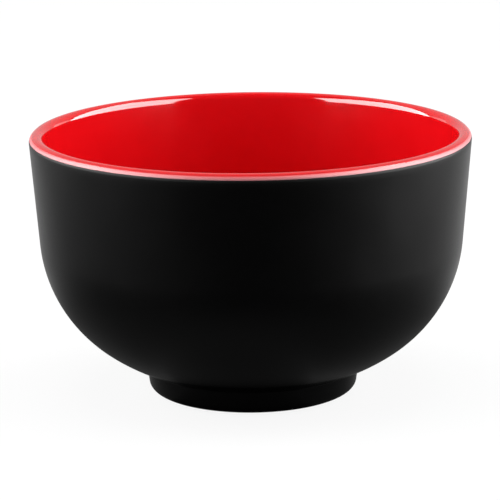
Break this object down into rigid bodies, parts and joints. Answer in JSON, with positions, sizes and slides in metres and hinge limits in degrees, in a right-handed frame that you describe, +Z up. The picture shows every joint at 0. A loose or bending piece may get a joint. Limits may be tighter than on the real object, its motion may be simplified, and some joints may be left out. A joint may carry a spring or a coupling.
{
  "type": "melamine bowl",
  "caption": "Deep round two-colour melamine bowl: matte black outer shell with a ring foot, and a gloss red liner that turns over the rim as a rounded lip, for serving food.",
  "frame": {"origin": "centre of the foot ring, on the table", "axes": "+Z up along the axis that the bowl is turned about; +X and +Y level, with nothing to tell them apart"},
  "size_m": [0.1298, 0.1298, 0.078],
  "materials": {
    "shell_black": "matte black melamine, finely blasted in the mould, with the foot ring polished by use",
    "liner_red": "gloss red melamine, with a buffed, duller outer edge on the lip"
  },
  "bodies": {
    "root": {"outer_shell": "shell_black", "inner_liner": "liner_red"}
  },
  "joints": []
}
